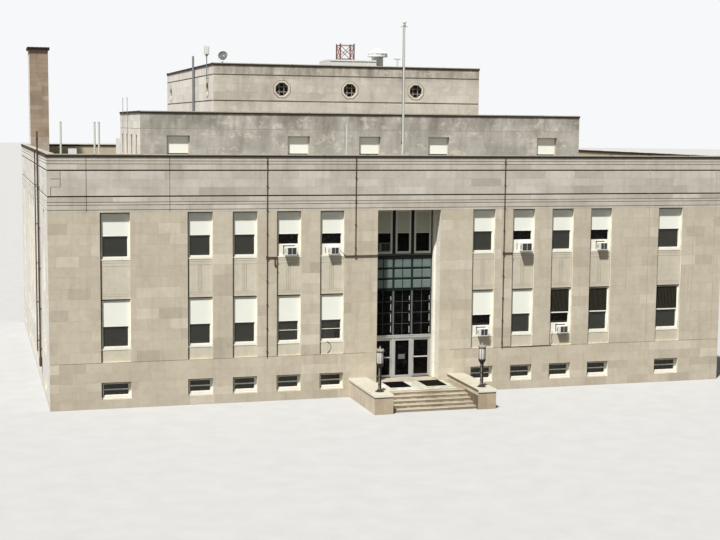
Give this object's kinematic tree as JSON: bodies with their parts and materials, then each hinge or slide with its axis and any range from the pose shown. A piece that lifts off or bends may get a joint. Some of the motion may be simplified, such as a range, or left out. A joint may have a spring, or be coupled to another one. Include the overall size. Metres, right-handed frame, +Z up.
{
  "type": "town hall building",
  "caption": "Stone town hall on a raised basement, with recessed window bays, a glazed two-storey portal with hinged doors, outside steps and two set-back upper tiers",
  "frame": {"origin": "on the entrance axis, in the plane of the front face, at the lowest ground level", "axes": "+X runs along the front to the right, +Y into the building, +Z up"},
  "size_m": [37.4, 35.465, 19.79],
  "materials": {
    "limestone": "honed limestone ashlar, weathered",
    "grey_limestone": "weathered limestone with dark runs",
    "step_stone": "worn stone",
    "concrete": "cast concrete slab",
    "roofing": "gravelled roof deck",
    "chimney_stone": "tan masonry, sooty",
    "coping": "dark sheet coping, weathered",
    "window_paint": "chalky white paint",
    "glass": "clear sheet glass",
    "portal_bronze": "dark bronze paint",
    "portal_tile": "blue-green glazed panels",
    "door_aluminium": "satin mill finish",
    "hinge_steel": "satin steel",
    "mat": "ribbed mat",
    "lantern_iron": "dark painted iron",
    "unit_case": "pale enamel",
    "conduit": "dark brown paint",
    "pole_paint": "white paint",
    "stub_iron": "red oxide paint",
    "vent_metal": "white roof paint",
    "mast_metal": "grey galvanized"
  },
  "bodies": {
    "root": {"front_wall_left": "limestone", "front_wall_right": "limestone", "left_wall": "limestone", "right_wall": "limestone", "rear_wall": "limestone", "portal_piers": "limestone", "portal_head": "limestone", "parapet_coping": "coping", "tier_copings": "coping", "basement_floor": "concrete", "first_floor": "concrete", "second_floor": "concrete", "main_roof": "roofing", "front_windows": "window_paint", "side_windows": "window_paint", "rear_windows": "window_paint", "window_glass": "glass", "portal_frame": "portal_bronze", "door_frame": "door_aluminium", "portal_glass": "glass", "portal_panels": "portal_tile", "door_hinges": "hinge_steel", "entrance_steps": "step_stone", "cheek_walls": "step_stone", "door_mats": "mat", "entrance_lanterns": "lantern_iron", "tier2_front_wall": "grey_limestone", "tier2_side_walls": "grey_limestone", "tier2_roof": "roofing", "tier2_windows": "window_paint", "tier3_floor": "concrete", "tier3_front_wall": "grey_limestone", "tier3_side_walls": "grey_limestone", "tier3_rear_wall": "grey_limestone", "tier3_roof": "roofing", "octagon_windows": "window_paint", "chimney": "chimney_stone", "chimney_cap": "coping", "flagpole": "pole_paint", "roof_posts": "pole_paint", "roof_curb": "vent_metal", "lattice_stub": "stub_iron", "roof_vents": "vent_metal", "roof_mast": "mast_metal", "air_conditioners": "unit_case", "conduits": "conduit"},
    "left_door": {"left_door": "door_aluminium", "left_door_glass": "glass"},
    "right_door": {"right_door": "door_aluminium", "right_door_glass": "glass"}
  },
  "joints": [
    {"name": "left_door_hinge", "type": "hinge", "parent": "root", "child": "left_door", "pos_m": [-1.555, 1.055, 1.79], "axis": [0, 0, -1], "range_deg": [0, 90]},
    {"name": "right_door_hinge", "type": "hinge", "parent": "root", "child": "right_door", "pos_m": [1.555, 1.055, 1.79], "axis": [0, 0, 1], "range_deg": [0, 90]}
  ]
}
